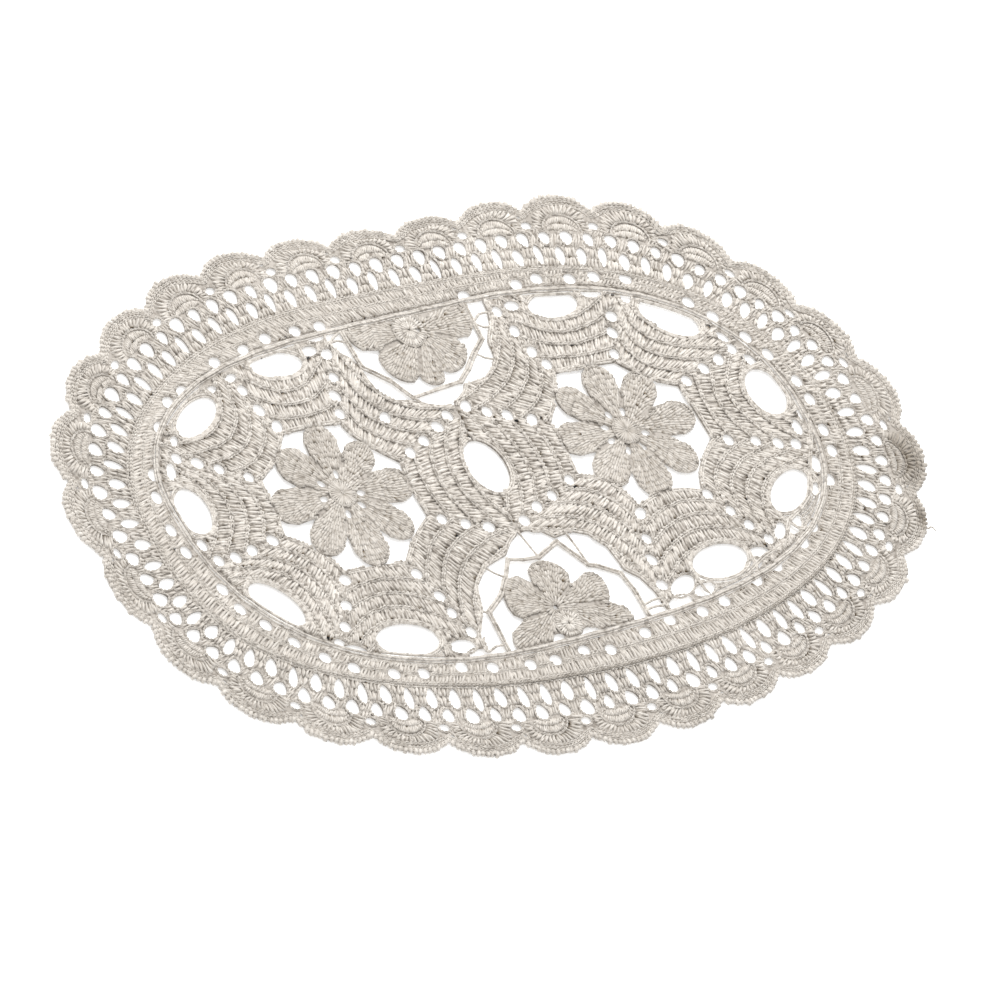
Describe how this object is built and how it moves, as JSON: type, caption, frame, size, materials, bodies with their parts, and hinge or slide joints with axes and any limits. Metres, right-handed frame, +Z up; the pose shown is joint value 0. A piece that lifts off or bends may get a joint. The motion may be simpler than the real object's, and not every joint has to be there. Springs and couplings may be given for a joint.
{
  "type": "crochet placemat",
  "caption": "Oval openwork crochet placemat in ecru cotton, with petal flowers in rings of shells, chain nets, a lattice band and a scalloped edge.",
  "frame": {"origin": "middle of the mat's bounding box, on the surface that it lies on", "axes": "+X along the mat's length, +Z up out of the surface"},
  "size_m": [0.4566, 0.2738, 0.003],
  "materials": {
    "yarn": "matte"
  },
  "bodies": {
    "root": {"scallop_edging": "yarn", "lattice_band": "yarn", "post_band": "yarn", "inner_cord": "yarn", "shell_left_1": "yarn", "shell_left_2": "yarn", "shell_left_3": "yarn", "shell_left_4": "yarn", "shell_left_5": "yarn", "shell_left_6": "yarn", "shell_left_7": "yarn", "shell_left_8": "yarn", "shell_right_1": "yarn", "shell_right_2": "yarn", "shell_right_3": "yarn", "shell_right_4": "yarn", "shell_right_5": "yarn", "shell_right_6": "yarn", "shell_right_7": "yarn", "shell_right_8": "yarn", "large_flower_left": "yarn", "large_flower_right": "yarn", "small_flower_bottom": "yarn", "small_flower_top": "yarn", "chain_net_bottom": "yarn", "chain_net_top": "yarn"}
  },
  "joints": []
}
